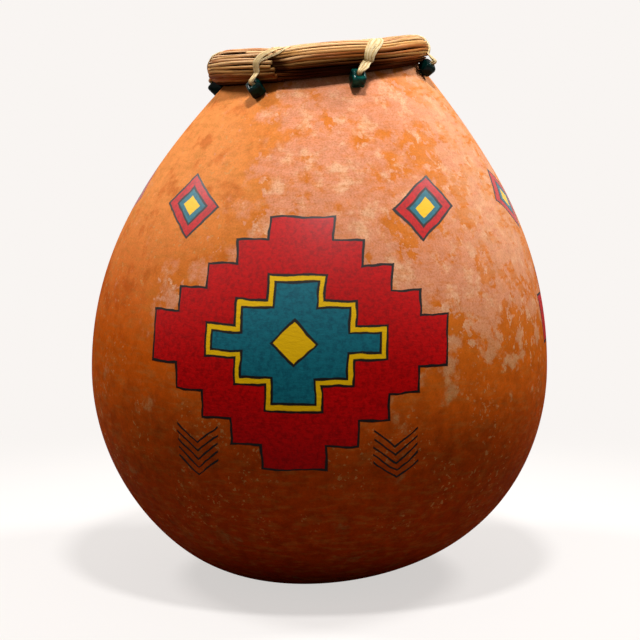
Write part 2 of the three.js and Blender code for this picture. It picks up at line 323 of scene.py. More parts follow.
world = bpy.context.scene.world or bpy.data.worlds.new("world")
bpy.context.scene.world = world
world.use_nodes = True
_, mirrored = ray_kinds(world.node_tree)
set_sockets(world.node_tree.nodes["Background"], Color=mix(mirrored, SKY_LIGHT, PALE))
print("world: fill light of", SKY_LIGHT[:3])

# %% [markdown]
# ## The gourd's outline
# A gourd is nearly a turned shape, so its outline says most: a small flat base, a full belly low down and
# a long shoulder up to the rim. Two Bezier curves that meet at the belly give it with few numbers.
# The fruit is not quite straight, though. Its neck leans to one side and its base to the other, and the
# saw went through the neck at a slant. So the outline is turned about a middle line that leans, and is cut
# by a tilted plane.

# %% Driving sizes of the gourd
BELLY_RADIUS = 120 * MM
BELLY_HEIGHT = 110 * MM
BASE_RADIUS = 31 * MM
RIM_RADIUS = 49.5 * MM
RIM_HEIGHT = 265 * MM
WALL = 5.5 * MM
BASE_RISE = math.radians(11.5)
NECK_SLOPE = math.radians(41)
RIM_TILT = math.radians(6.5)
NECK_LEAN = 6 * MM
BASE_LEAN = 8.5 * MM
UNDERSIDE_FULLNESS = 65 * MM
LOWER_BELLY_FULLNESS = 43 * MM
UPPER_BELLY_FULLNESS = 66 * MM
SHOULDER_FULLNESS = 58 * MM
NECK_SPARE = 30 * MM
CURVE_STEPS = 300
print("gourd:", round(2 * BELLY_RADIUS / MM), "mm across and", round(RIM_HEIGHT / MM), "mm to the rim")

# %% Outline curves
Outline = namedtuple("Outline", "radius height along")


def unit(ways):
    """The same ways, each with a length of 1."""
    return ways / np.linalg.norm(ways, axis=-1, keepdims=True)


def path_length(points):
    """How far along a path each of its points lies."""
    steps = np.linalg.norm(np.diff(points, axis=0), axis=1)
    return np.concatenate(([0], np.cumsum(steps)))


def bezier(a, b, c, d):
    """Points along a cubic curve with four corners, and its way at each."""
    t = np.linspace(0, 1, CURVE_STEPS)[:, None]
    points = (1 - t) ** 3 * a + 3 * (1 - t) ** 2 * t * b + 3 * (1 - t) * t**2 * c + t**3 * d
    ways = (1 - t) ** 2 * (b - a) + 2 * (1 - t) * t * (c - b) + t**2 * (d - c)
    return points, unit(ways)


def outline(depth):
    """Radius, height and length along the gourd from its belly, for points so deep under its skin."""
    base = np.array((BASE_RADIUS, 0))
    belly = np.array((BELLY_RADIUS, BELLY_HEIGHT))
    rim = np.array((RIM_RADIUS, RIM_HEIGHT))
    upright = np.array((0, 1))
    underside = UNDERSIDE_FULLNESS * np.array((math.cos(BASE_RISE), math.sin(BASE_RISE)))
    down = np.array((math.sin(NECK_SLOPE), -math.cos(NECK_SLOPE)))
    low, low_ways = bezier(base, base + underside, belly - LOWER_BELLY_FULLNESS * upright, belly)
    over_belly = belly + UPPER_BELLY_FULLNESS * upright
    high, high_ways = bezier(belly, over_belly, rim + SHOULDER_FULLNESS * down, rim)
    points = np.vstack((low, high[1:], [rim - NECK_SPARE * down]))
    ways = np.vstack((low_ways, high_ways[1:], [-down]))
    points = points + depth * np.stack((-ways[:, 1], ways[:, 0]), axis=1)
    along = path_length(points)
    return Outline(points[:, 0], points[:, 1], along - along[CURVE_STEPS - 1])


def lean(z):
    """How far the gourd's middle lies to the right at a height."""
    up = np.clip((z - BELLY_HEIGHT) / (RIM_HEIGHT - BELLY_HEIGHT), 0, None)
    down = np.clip((BELLY_HEIGHT - z) / BELLY_HEIGHT, 0, None)
    return NECK_LEAN * up**2 - BASE_LEAN * down**6


skin_outline = outline(0)
inner_outline = outline(WALL)
print("outline:", round(float(skin_outline.along[-1]) / MM), "mm from belly to neck")

# %% [markdown]
# ## The rim's own frame
# All pieces at the rim lie on the slanting cut, so they are worked out in a frame that is tilted with it
# and then turned into the object's frame by one matrix. Angles round the rim run right from the front.

# %% Rim frame
UP = np.array((0.0, 0.0, 1.0))

rim_place = Matrix.Translation((float(lean(RIM_HEIGHT)), 0, RIM_HEIGHT))
rim_matrix = rim_place @ Matrix.Rotation(-RIM_TILT, 4, "Y")
rim_turn = np.array(rim_matrix.to_3x3())
rim_middle = np.array(rim_matrix.translation)


def from_rim(points):
    """Points of the rim's frame, in the object's frame."""
    return points @ rim_turn.T + rim_middle


def to_rim(points):
    """Points of the object's frame, in the rim's frame."""
    return (points - rim_middle) @ rim_turn


print("rim frame: tilted", round(math.degrees(RIM_TILT), 1), "degrees about", rim_middle.round(4))

# %% [markdown]
# ## The gourd's shell
# The shell could be a lathe with a Solidify and a Boolean modifier. But a plane cut leaves the mesh with
# slivers at the rim, where the light shows them. Here each upright column of the mesh is made to end
# exactly on the cut, outside and inside, so the rim has a clean row of faces, with its edges a little
# rounded as sanding leaves them. Low swellings of a third of a millimetre keep the skin from looking
# turned on a machine.

# %% Skin and cut
COLUMNS = 240
SWELL = 0.3 * MM
SWELLS = 9
# How often a swelling comes round the gourd, and how fast along it, in radians a metre
SWELL_ROUNDS = (1, 6)
SWELL_WAVES = (8, 30)
SWELL_FOOT, SWELL_TOP = -120 * MM, 130 * MM
SWELL_FADE = 30 * MM
ANY_PHASE = (0, 6.3)
random_swells = np.random.default_rng(11)

turn = round_turn(COLUMNS)


def on_shell(profile, along, angle):
    """Points of the turned and leaned outline, so far along it and so far round."""
    radius = np.interp(along, profile.along, profile.radius)
    z = np.interp(along, profile.along, profile.height)
    return np.stack((lean(z) + radius * np.sin(angle), -radius * np.cos(angle), z), axis=-1)


def cut_length(profile, angle):
    """How far along the outline the slanting cut comes at an angle round the gourd."""
    shoulder = profile.along[profile.height > BELLY_HEIGHT]
    fine = np.linspace(shoulder[0], shoulder[-1], 4 * CURVE_STEPS)
    above_cut = to_rim(on_shell(profile, fine, angle))[:, 2]
    return np.interp(0, above_cut, fine)


def swelling(along, angle):
    """Low swellings over the skin, dying out towards the rim and the base."""
    total = np.zeros(np.broadcast(along, angle).shape)
    for _ in range(SWELLS):
        rounds = random_swells.integers(*SWELL_ROUNDS)
        phase = random_swells.uniform(*ANY_PHASE)
        wave = random_swells.uniform(*SWELL_WAVES)
        total = total + np.cos(rounds * angle + phase) * np.cos(wave * along + phase)
    below_top = np.clip((SWELL_TOP - along) / SWELL_FADE, 0, 1)
    above_foot = np.clip((along - SWELL_FOOT) / SWELL_FADE, 0, 1)
    return SWELL * total / math.sqrt(SWELLS) * below_top * above_foot


outer_end, inner_end = (
    np.array([cut_length(profile, t) for t in turn]) for profile in (skin_outline, inner_outline)
)
print("cut:", (outer_end.min() / MM).round(), "to", (outer_end.max() / MM).round(), "mm up from the belly")

# %% Shell mesh
SKIN_ROWS = 150
INNER_ROWS = 90
DISC_ROWS = 6
EDGE_ROUNDING = 0.9 * MM
EDGE_STEPS = 4


def rounded(start, corner, end):
    """Rows of points round an edge, from a row before its corner to one after it."""
    t = np.linspace(0, 1, EDGE_STEPS + 1)[:, None, None]
    return (1 - t) ** 2 * start + 2 * (1 - t) * t * corner + t**2 * end


def shell_rings():
    """Rings of points from the base, up outside, over the rim and down inside, and both end middles."""
    share = np.linspace(0, 1, SKIN_ROWS)[:, None]
    along = skin_outline.along[0] + share * (outer_end - EDGE_ROUNDING - skin_outline.along[0])
    skin = on_shell(skin_outline, along, turn) + swelling(along, turn)[..., None] * outward(turn)
    share = np.linspace(0, 1, INNER_ROWS)[:, None]
    along = inner_end - EDGE_ROUNDING + share * (inner_outline.along[0] - inner_end)
    inside = on_shell(inner_outline, along, turn)
    corner_out = on_shell(skin_outline, outer_end, turn)
    corner_in = on_shell(inner_outline, inner_end, turn)
    inset = EDGE_ROUNDING * unit(corner_in - corner_out)
    edge_out = rounded(skin[-1], corner_out, corner_out + inset)[1:]
    edge_in = rounded(corner_in - inset, corner_in, inside[0])[:-1]
    base = np.array((float(lean(0.0)), 0, 0))
    floor_middle = inside[-1].mean(axis=0)
    grow = np.linspace(0, 1, DISC_ROWS + 1)[1:-1, None, None]
    disc = base + grow * (skin[0] - base)
    inner_disc = floor_middle + grow[::-1] * (inside[-1] - floor_middle)
    return np.concatenate((disc, skin, edge_out, edge_in, inside, inner_disc)), base, floor_middle


def grid_faces(rows, sides, start=0):
    """Faces between rings of points, which are numbered from a start."""
    here = start + np.arange((rows - 1) * sides).reshape(rows - 1, sides)
    beside = np.roll(here, -1, axis=1)
    return np.stack((here, beside, beside + sides, here + sides), axis=-1).reshape(-1, 4).tolist()


def end_loops(rows, sides, start=0):
    """The first ring backwards and the last one forwards, so that faces on both look out."""
    last = start + (rows - 1) * sides
    return list(range(start, start + sides))[::-1], list(range(last, last + sides))


def fanned_mesh(name, rings, first, last):
    """A mesh over rings of points, closed at each end by a fan of faces to a middle point."""
    rows, sides = rings.shape[:2]
    faces = grid_faces(rows, sides)
    for middle, loop in enumerate(end_loops(rows, sides), start=rows * sides):
        faces += [[a, b, middle] for a, b in zip(loop, loop[1:] + loop[:1])]
    mesh = bpy.data.meshes.new(name)
    mesh.from_pydata(np.vstack((rings.reshape(-1, 3), first, last)).tolist(), [], faces)
    return mesh


shell = add_object("gourd", fanned_mesh("gourd", *shell_rings()))
print("gourd:", len(shell.data.vertices), "points,", len(shell.data.polygons), "faces")

# %% [markdown]
# ## Where the lashings go through
# Each bead turns on the cord that holds it, so the frame's joints already say where the cords go: a
# joint's point is the middle of a bead, and its axis stands square on the wall. From it come the hole, the
# bead and the knot behind the wall. Nothing is measured twice.

# %% Cord places
BEAD_SIZE = 7.6 * MM
BEAD_SEAT = 0.5 * MM
BEAD_STAND = BEAD_SIZE / 2 + BEAD_SEAT
CORD_RADIUS = 1.4 * MM


def on_cord(cord, distance):
    """A point on a cord's straight stretch, so far outside the gourd's skin."""
    return cord["middle"] + (distance - BEAD_STAND) * cord["axis"]


cords = []
for joint in frame["joints"]:
    axis = unit(np.array(joint["axis"]))
    cord = {"bead": joint["child"], "middle": np.array(joint["pos_m"]), "axis": axis}
    cord["rim_axis"] = axis @ rim_turn
    cord["angle"] = float(angle_of(to_rim(on_cord(cord, 0))))
    cords.append(cord)
print("cords at", [round(math.degrees(cord["angle"])) for cord in cords], "degrees round the rim")

# %% [markdown]
# ## Drilling the wall
# The holes are real ones: a Boolean modifier takes six thin rods out of the shell in one cut, and is
# applied at once so that the piece is a plain mesh. The beads are bored in the same way later.

# %% Drilled holes
HOLE_RADIUS = CORD_RADIUS + 0.5 * MM
HOLE_SIDES = 32


def stood_along(axis):
    """The turn that lays the upright along an axis."""
    return Vector(UP).rotation_difference(Vector(axis)).to_matrix()


def mesh_from(made, name):
    """A mesh of what was made in bmesh, which is let go."""
    mesh = bpy.data.meshes.new(name)
    made.to_mesh(mesh)
    made.free()
    return mesh


def drill(piece, radius, depth, places):
    """Takes a rod out of a piece at each place, and makes the result its own mesh."""
    rods = bmesh.new()
    rod = {"cap_ends": True, "segments": HOLE_SIDES, "radius1": radius, "radius2": radius, "depth": depth}
    for place in places:
        bmesh.ops.create_cone(rods, matrix=place, **rod)
    drills = add_object("drills", mesh_from(rods, "drills"))
    cut = piece.modifiers.new("holes", "BOOLEAN")
    cut.operation = "DIFFERENCE"
    cut.object = drills
    graph = bpy.context.evaluated_depsgraph_get()
    bored = piece.evaluated_get(graph)
    mesh = bpy.data.meshes.new_from_object(bored, preserve_all_data_layers=True, depsgraph=graph)
    piece.modifiers.clear()
    piece.data = mesh
    bpy.data.objects.remove(drills)


hole_places = [
    Matrix.Translation(on_cord(cord, -WALL / 2)) @ stood_along(cord["axis"]).to_4x4() for cord in cords
]
drill(shell, HOLE_RADIUS, 3 * WALL, hole_places)
print("gourd: drilled,", len(shell.data.polygons), "faces")

# %% [markdown]
# ## Places on the skin
# The paint needs to know where on the gourd a point lies: how far round, and how far up along the skin,
# which is longer than the height alone. Each point of the mesh gets its place written on it in
# millimetres, sideways and frontways from the leaning middle line and along the skin from the belly. Faces
# deeper than two fifths of the wall belong to the inside, which has another finish.

# %% Places and faces
SKIN, FLESH = 0, 1
SKIN_DEPTH = 0.4 * WALL


def read_points(items, key):
    """A vector of each point or face of a mesh, as rows of an array."""
    values = np.zeros(3 * len(items), dtype=np.float32)
    items.foreach_get(key, values)
    return values.reshape(-1, 3).astype(float)


def write_points(mesh, name, values):
    """Writes a number or a vector on each point of a mesh, under a name that shaders can read."""
    kind, key = ("FLOAT", "value") if values.ndim == 1 else ("FLOAT_VECTOR", "vector")
    mesh.attributes.new(name, kind, "POINT").data.foreach_set(key, values.astype(np.float32).ravel())


def place_on_skin(points):
    """Sideways and frontways from the gourd's middle line, and along the skin from its belly."""
    height = points[:, 2]
    along = np.interp(height, skin_outline.height, skin_outline.along)
    return np.stack((points[:, 0] - lean(height), -points[:, 1], along), axis=1)


write_points(shell.data, "place", place_on_skin(read_points(shell.data.vertices, "co")) / MM)
face_middles = read_points(shell.data.polygons, "center")
face_place = place_on_skin(face_middles)
skin_radius = np.interp(face_middles[:, 2], skin_outline.height, skin_outline.radius)
depth = skin_radius - np.hypot(face_place[:, 0], face_place[:, 1])
is_inside = (depth > SKIN_DEPTH) & (face_middles[:, 2] > WALL / 2)
shell.data.polygons.foreach_set("material_index", np.where(is_inside, FLESH, SKIN).astype(np.int32))
shell.data.shade_smooth()
print("gourd:", int(is_inside.sum()), "faces inside")

# %% [markdown]
# ## The gourd's skin
# Dried gourd skin is orange above and a deep red-brown underneath; the darkening towards the base is partly
# the skin's own colour and partly painted shade. Where the thin outer skin came off in cleaning, it is pale
# and dusty: in ragged patches over the front and the right flank, and elsewhere only in small specks. Over
# the front shoulder the pale also stands for a painted sheen of the varnish, and the upper right edge gets
# a painted sheen in cream.
# A photograph as a texture would show only one side. Here noises of several sizes do it. The skin is pale
# wherever a rough noise is over a limit, which is low on the worn sides and high elsewhere, and a finer
# noise gives the specks.

# %% Skin colours
SKIN_TOP = (0.82, 0.28, 0.075, 1.0)
SKIN_MIDDLE = (0.66, 0.11, 0.005, 1.0)
SKIN_LOW = (0.48, 0.05, 0.002, 1.0)
SKIN_DEEP = (0.36, 0.022, 0.001, 1.0)
SKIN_ISLAND = (0.7, 0.18, 0.015, 1.0)
SKIN_PALE = (0.78, 0.31, 0.17, 1.0)
SKIN_CREAM = (0.88, 0.47, 0.27, 1.0)
SKIN_DUST = (0.5, 0.19, 0.04, 1.0)
SKIN_RUSSET = (0.44, 0.055, 0.003, 1.0)
SKIN_SPECK = (0.66, 0.32, 0.11, 1.0)
PORE = srgb(92, 34, 10)

# Heights along the skin, in millimetres from the belly, between which each colour takes over; the darkening
# towards the base is partly the skin's own colour and partly painted shade
SKIN_AND_SHADE_BANDS = (((-150, -55), SKIN_LOW), ((-70, 25), SKIN_MIDDLE), ((15, 110), SKIN_TOP))
# Sides of the gourd, in radians from the front: the middle, where the side has faded out, where it is
# full, and the heights between which it sets in
# Over the front shoulder the pale patches also stand for a painted sheen of the varnish
FRONT = (0.1, 1.0, 0.2, -15, 60)
RIGHT_FLANK = (0.8, 1.0, 0.4, -25, 50)
# The upper right edge, where a painted sheen in cream lies
PAINTED_SHEEN_EDGE = (1.15, 0.65, 0.1, 25, 85)
# Each noise over the skin: the size of its blobs in millimetres, its detail and its roughness
SKIN_NOISES = {
    "drift": (45, 2, 0.55),
    "russet": (13, 4, 0.6),
    "patches": (15, 6, 0.6),
    "blobs": (5, 4, 0.6),
    "crowds": (24, 2, 0.55),
    "specks": (2.4, 3, 0.6),
    "cream": (9, 4, 0.6),
    "mottle": (6, 4, 0.65),
    "grain": (0.9, 3, 0.65),
}
HAZE_FLATNESS = 4
HAZE_SIZE = 9 * MM
DRIFT_UP = 40
DRIFT_ROUND = 1.6
FLANK_WEAR = 0.83
BARE_LIMIT = 0.68
WORN_LIMIT = 0.44
print("skin: from", SKIN_DEEP[:3], "at the base to", SKIN_TOP[:3], "at the rim")


# %% Skin layers
def side_of_gourd(angle, along, middle, faded, full, low, high):
    """1 in the middle of a side of the gourd, fading out sideways and downwards."""
    return abs(angle - middle).rise(faded, full) * along.rise(low, high)


def skin_ground(noise, along):
    """The whole skin, darker towards the base in colour and in painted shade, under a thin dust and russet
    stains.
    """
    level = along + (noise.drift - 0.5) * DRIFT_UP
    # The bands darken the skin towards the base, partly in its own colour and partly as painted shade
    bands = [(level.rise(*heights), lighter_colour) for heights, lighter_colour in SKIN_AND_SHADE_BANDS]
    dust = (noise.haze.rise(0.45, 0.7) * 0.4, SKIN_DUST)
    stains = (noise.russet.rise(0.5, 0.66) * 0.4, SKIN_RUSSET)
    return layered(SKIN_DEEP, *bands, dust, stains)


def bare_skin(noise, along, angle):
    """How worn each side is, at the front also a painted sheen; where the outer skin is off in patches;
    where in specks.
    """
    astray = angle + (noise.drift - 0.5) * DRIFT_ROUND
    flank = side_of_gourd(astray, along, *RIGHT_FLANK)
    wear_and_sheen = side_of_gourd(astray, along, *FRONT).most(flank * FLANK_WEAR)
    limit = wear_and_sheen * (WORN_LIMIT - BARE_LIMIT) + BARE_LIMIT
    softness = angle.rise(0.2, 0.9) * -0.05 + 0.09
    patches = ((noise.patches - limit) / softness).rise(-1, 1)
    blobs = (noise.blobs - limit - 0.04).rise(0, 0.05)
    crowded = noise.crowds.rise(0.47, 0.6) * (1 - wear_and_sheen) * along.rise(-105, -45)
    return wear_and_sheen, patches.most(blobs), noise.specks.rise(0.59, 0.65) * crowded


def pale_skin(noise, along):
    """What shows where the outer skin is gone, browner downwards and darker downwards as painted shade."""
    pale = layered(
        SKIN_PALE,
        (noise.cream.rise(0.48, 0.66), SKIN_CREAM),
        (noise.haze.rise(0.46, 0.66) * 0.35, SKIN_ISLAND),
        (along.rise(60, -20), SKIN_SPECK),
    )
    # Painted shade: the pale skin darkens towards the base
    return shade(pale, along.rise(-120, 40) * 0.55 + 0.45)


def skin_colour(where, along, angle):
    """The unpainted skin, its fine grain and where its outer layer is gone."""
    noises = {name: cloud(where, size * MM, *rest) for name, (size, *rest) in SKIN_NOISES.items()}
    noise = SimpleNamespace(haze=flat_cloud(where, HAZE_FLATNESS, HAZE_SIZE), **noises)
    wear_and_sheen, bare, specks = bare_skin(noise, along, angle)
    # Painted sheen in cream over the upper right edge
    painted_sheen = side_of_gourd(angle, along, *PAINTED_SHEEN_EDGE) * noise.haze.rise(0.3, 0.6)
    colour = layered(
        skin_ground(noise, along),
        (wear_and_sheen * 0.8, SKIN_ISLAND),
        (bare * (noise.grain * 1.9 - 0.05).least(1), pale_skin(noise, along)),
        (specks * 0.7, SKIN_SPECK),
        (painted_sheen * 0.55, SKIN_CREAM),
    )
    mottled = (noise.mottle - 0.5) * (along.rise(-30, 50) * -0.75 + 1.2)
    colour = shade(colour, mottled + noise.grain * 0.5 + 0.75)
    return mix(noise.grain.rise(0.34, 0.25) * 0.3, colour, PORE), noise.grain, bare.most(specks)


print("skin:", len(SKIN_NOISES) + 1, "noises")

# %% [markdown]
# ## The painted design
# The design is bold and flat: deep red shapes with a thin black line round them, teal shapes edged in
# yellow inside, and groups of fine chevrons. Such shapes could be cut from the mesh as separate faces, but
# thin lines would then need a very fine mesh. In a shader each shape is one number, the distance to its
# edge: less than zero is inside, and a narrow band round zero is the line. The same distance, taken
# further in, gives all the nested shapes. Three stepped lozenges go round the belly, with diamonds above
# them. A slow noise added to each point's place makes the edges waver as a hand does.

# %% Design sizes, in millimetres on the skin
RED = srgb(204, 5, 9)
RED_DEEP = srgb(160, 0, 4)
TEAL = srgb(20, 112, 128)
TEAL_DEEP = srgb(10, 86, 104)
YELLOW = srgb(250, 198, 10)
BLACK = srgb(14, 9, 8)

REPEATS = 3
DESIGN_TURN = math.radians(-6)
HAND_WAVER = 3.0
WAVER_SIZE = 14
LINE = 0.6
LINE_SWELL = 0.8
SWELL_SIZE = 7
BRUSH_SIZE = 2.4
BRUSH_MARKS = (0.3, 0.62)
EDGE_SOFT = 0.2

LOZENGE_HEIGHT = 30
STEP_COUNT = 5
STEP_WIDTH = 15.5
STEP_RISE = 12.5
YELLOW_FROM = 17.0
YELLOW_WIDTH = 3.4
HEART = 11.0

DIAMOND_SIDE = 62
DIAMOND_HEIGHT = 96
DIAMOND = 17.0
DIAMOND_RING = 5.0
DIAMOND_HEART = 8.2

CHEVRON_SIDE = 50
CHEVRON_HEIGHT = -30
CHEVRON_PITCH = 4.2
CHEVRONS = 5
CHEVRON_SPREAD = 11
CHEVRON_SLOPE = 0.8
print("design:", REPEATS, "lozenges,", 2 * REPEATS, "diamonds and", 2 * REPEATS * CHEVRONS, "chevrons")


# %% Painted shapes
def within(distance):
    """1 inside a shape and 0 outside, with an edge as soft as a brush leaves it."""
    return distance.rise(EDGE_SOFT, -EDGE_SOFT)


def lozenge(side, up):
    """Distance to a stepped lozenge, the union of bars that grow taller as they grow narrower."""
    nearest = None
    for step in range(STEP_COUNT):
        bar = (side - STEP_WIDTH * (STEP_COUNT - step)).most(up - STEP_RISE * (step + 1))
        nearest = bar if nearest is None else nearest.least(bar)
    return nearest


def diamond(side, up, half):
    """Distance to a diamond with so long a half diagonal."""
    return (side + up - half) * math.sqrt(0.5)


def chevrons(side, up):
    """Distance to a group of open V shapes, one above another."""
    height = up - side * CHEVRON_SLOPE
    stroke = abs(height.wrap(-CHEVRON_PITCH / 2, CHEVRON_PITCH / 2))
    return stroke.most(side - CHEVRON_SPREAD).most(abs(height) - CHEVRON_PITCH * CHEVRONS / 2)


def painted(colour, where, along, angle, radius):
    """Lays the design over the skin, and says where paint is."""
    waver_side, waver_up, _ = split(cloud(where, WAVER_SIZE * MM, 2, 0.5, "Color"))
    folded = (angle - DESIGN_TURN).wrap(-math.pi / REPEATS, math.pi / REPEATS)
    side = abs(folded * radius + (waver_side - 0.5) * HAND_WAVER)
    up = along + (waver_up - 0.5) * HAND_WAVER

    body = lozenge(side, abs(up - LOZENGE_HEIGHT))
    yellow_body = body + YELLOW_FROM
    teal_body = yellow_body + YELLOW_WIDTH
    heart = diamond(side, abs(up - LOZENGE_HEIGHT), HEART)
    ring = diamond(abs(side - DIAMOND_SIDE), abs(up - DIAMOND_HEIGHT), DIAMOND)
    ring_inside = ring + DIAMOND_RING

    pen = cloud(where, SWELL_SIZE * MM, 2) * LINE_SWELL + (LINE - LINE_SWELL / 2)
    lines = within(chevrons(abs(side - CHEVRON_SIDE), up - CHEVRON_HEIGHT) - pen)
    for edge in (body, yellow_body, teal_body, heart, ring, ring_inside):
        lines = lines.most(within(abs(edge) - pen))
    brush = cloud(where, BRUSH_SIZE * MM, 4, 0.7).rise(*BRUSH_MARKS)
    shapes = within(body.least(ring))
    colour = layered(
        colour,
        (shapes, mix(brush, RED_DEEP, RED)),
        (within(yellow_body), YELLOW),
        (within(teal_body.least(ring_inside)), mix(brush, TEAL_DEEP, TEAL)),
        (within(heart.least(ring + DIAMOND_HEART)), YELLOW),
        (lines, BLACK),
    )
    return colour, shapes.most(lines)


print("lozenge:", 2 * STEP_WIDTH * STEP_COUNT, "mm wide and", 2 * STEP_RISE * STEP_COUNT, "mm high")

# %% [markdown]
# ## Varnish
# A thin satin varnish lies over skin and paint alike, with a soft reflection. It is full on the painted
# shoulder, worn thin below the belly and weak on bare skin, which drinks it in. Brush marks in the paint
# and the grain of the skin show in its shine as a slight relief.

# %% Skin and flesh finishes
VARNISH_LOW, VARNISH_FULL = 0, 95
BRISTLE_FLATNESS = 3
BRISTLE_SIZE = 4 * MM
SKIN_RELIEF = 0.2 * MM
FIBRE_FLATNESS = 0.15
FIBRE_SIZE = 2.5 * MM
STAIN_SIZE = 30 * MM
FLESH_RELIEF = 0.5 * MM
FLESH_BROWN = srgb(126, 92, 48)
FLESH_PALE = srgb(196, 158, 100)
FLESH_STAIN = srgb(112, 74, 40)


def gourd_skin_finish():
    """Painted skin under a satin varnish."""
    varnish = {"Specular_IOR_Level": 0.0, "Coat_Roughness": 0.4, "Coat_IOR": 1.5}
    material, tree, shader = new_finish("painted_gourd_skin", **varnish)
    where = place_on_object(tree)
    side, front, along = split(attribute(tree, "place", "Vector"))
    angle = side.maths("ARCTAN2", front)
    colour, grain, bare = skin_colour(where, along, angle)
    colour, paint = painted(colour, where, along, angle, away(side, front))
    bristles = flat_cloud(where, BRISTLE_FLATNESS, BRISTLE_SIZE)
    set_sockets(
        shader,
        Base_Color=colour,
        Roughness=grain * 0.2 + 0.4 + bare * 0.08 - paint * 0.12,
        Coat_Weight=paint * (along.rise(VARNISH_LOW, VARNISH_FULL) * 0.8 + 0.08) + 0.03,
    )
    relief(shader, grain * 0.25 + paint * (bristles * 0.9 + 0.3) + bare * 0.1, SKIN_RELIEF)
    return material


def gourd_flesh_finish():
    """The pale, scraped inside of the wall, with fibres and scratches that run up and down."""
    material, tree, shader = new_finish("scraped_gourd_flesh", Roughness=0.85, Specular_IOR_Level=0.1)
    where = place_on_object(tree)
    fibres = flat_cloud(where, FIBRE_FLATNESS, FIBRE_SIZE, 0.65)
    stains = cloud(where, STAIN_SIZE).rise(0.45, 0.75) * 0.6
    set_sockets(shader, Base_Color=layered(FLESH_BROWN, (fibres, FLESH_PALE), (stains, FLESH_STAIN)))
    relief(shader, fibres, FLESH_RELIEF)
    return material


def dress(piece, body, slot, nodes, *finishes):
    """Gives a piece its finishes, lets it ride on a body, and hides the frame's nodes that it stands for.
    """
    for finish in finishes:
        piece.data.materials.append(finish)
    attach(piece, body)
    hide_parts(*nodes)


dress(shell, "vessel", "gourd", ["gourd_shell"], gourd_skin_finish(), gourd_flesh_finish())
print("gourd: finished with", len(shell.data.materials), "materials")

# %% [markdown]
# ## The stem bundle
# Some seventy dried stems are bent once round the rim. They are laid in layers round the bundle's middle
# line and twist slowly about it. One end of the bundle lies over the other: the first ends are tucked in,
# and the last ends stop short, cut off by hand, just right of the second lashing.
# A curve with a round bevel would make a stem quickly, but all stems would be alike and round. Here each
# one is lofted from its own uneven sections, and carries a tone of its own for the finish.

# %% Bundle
BUNDLE_RADIUS = 9.2 * MM
BUNDLE_OVERHANG = 0.5 * MM
BUNDLE_SEAT = -0.5 * MM
THIN_SHARE = 0.82
THICK_SIDE = math.radians(-60)
LASH_PINCH = 0.06
PINCH_SPREAD = math.radians(9)
CREST_ANGLES = np.radians((-84, -21, 36, 88, 147, 208))
RING_RADIUS = RIM_RADIUS + BUNDLE_OVERHANG


def rim_edge(profile, angle):
    """The point of the cut's edge at an angle round the gourd, in the rim's frame."""
    return to_rim(on_shell(profile, cut_length(profile, angle), angle))


right_edge, left_edge = (rim_edge(skin_outline, angle)[0] for angle in (math.pi / 2, -math.pi / 2))
ring_middle = np.array(((right_edge + left_edge) / 2, 0, 0))


def shorter_way(turn):
    """The same turn, taken the shorter way round."""
    return (turn + math.pi) % math.tau - math.pi


def bundle_radius(angle):
    """Radius of the whole bundle, thinner on one side and drawn in under each lashing."""
    angle = np.asarray(angle, dtype=float)
    thinning = (1 - THIN_SHARE) * (1 - np.cos(angle - THICK_SIDE)) / 2
    apart = shorter_way(angle[..., None] - CREST_ANGLES)
    pull = np.exp(-0.5 * (apart / PINCH_SPREAD) ** 2).max(axis=-1)
    return BUNDLE_RADIUS * (1 - thinning) * (1 - LASH_PINCH * pull)


def near_bundle(angle, distance, around):
    """A point so far from the bundle's middle line, at an angle from its outer side upwards."""
    over = outward(angle) * (RING_RADIUS + distance * np.cos(around))[..., None]
    up = BUNDLE_SEAT + bundle_radius(angle) + distance * np.sin(around)
    return ring_middle + over + up[..., None] * UP


def place_on_bundle(points):
    """The reverse: a point's angle round the rim, and its distance and angle from the middle line."""
    local = points - ring_middle
    angle = angle_of(local)
    over = np.hypot(local[..., 0], local[..., 1]) - RING_RADIUS
    up = local[..., 2] - BUNDLE_SEAT - bundle_radius(angle)
    return angle, np.hypot(over, up), np.arctan2(up, over)


print("bundle:", round(2 * float(bundle_radius(THICK_SIDE)) / MM, 1), "mm thick at most")

# %% Stem paths
STEM_STEPS = 130
BUNDLE_TURN = math.radians(-50)
SPLICE = math.radians(-22.5)
SPLICE_ON_TOP = math.radians(-25)
SPLICE_RAGGED = math.radians(1.8)
START_RAGGED = 0.08
TOP_STEMS = (0.2, 0.6)
TOP_AND_FOOT = (0.25, 0.9)
OVERLAP = math.radians(15)
INNER_SHORT = math.radians(16.25)
TUCK = 0.74
TUCK_ON_TOP = 0.98
RISE_FROM, RISE_TO = math.radians(-3), math.radians(16)
PROUD = 0.03
WANDER_ROUND, WANDER_OUT, WANDER_WIDTH = 0.06, 0.014, 0.05
WANDER_WAVES = 3
WANDER_RATES = (1.5, 7)
random_stems = np.random.default_rng(5)

along_stem = np.linspace(0, 1, STEM_STEPS)


def smooth(value, low, high):
    """0 up to low, 1 from high on, and a smooth step between."""
    t = np.clip((value - low) / (high - low), 0, 1)
    return t * t * (3 - 2 * t)


def slow_wave(size):
    """A gentle wandering along a stem."""
    rates = random_stems.uniform(*WANDER_RATES, WANDER_WAVES)
    phases = random_stems.uniform(*ANY_PHASE, WANDER_WAVES)
    waves = (np.sin(rate * along_stem * math.tau + phase) for rate, phase in zip(rates, phases))
    return size * sum(waves) / 2


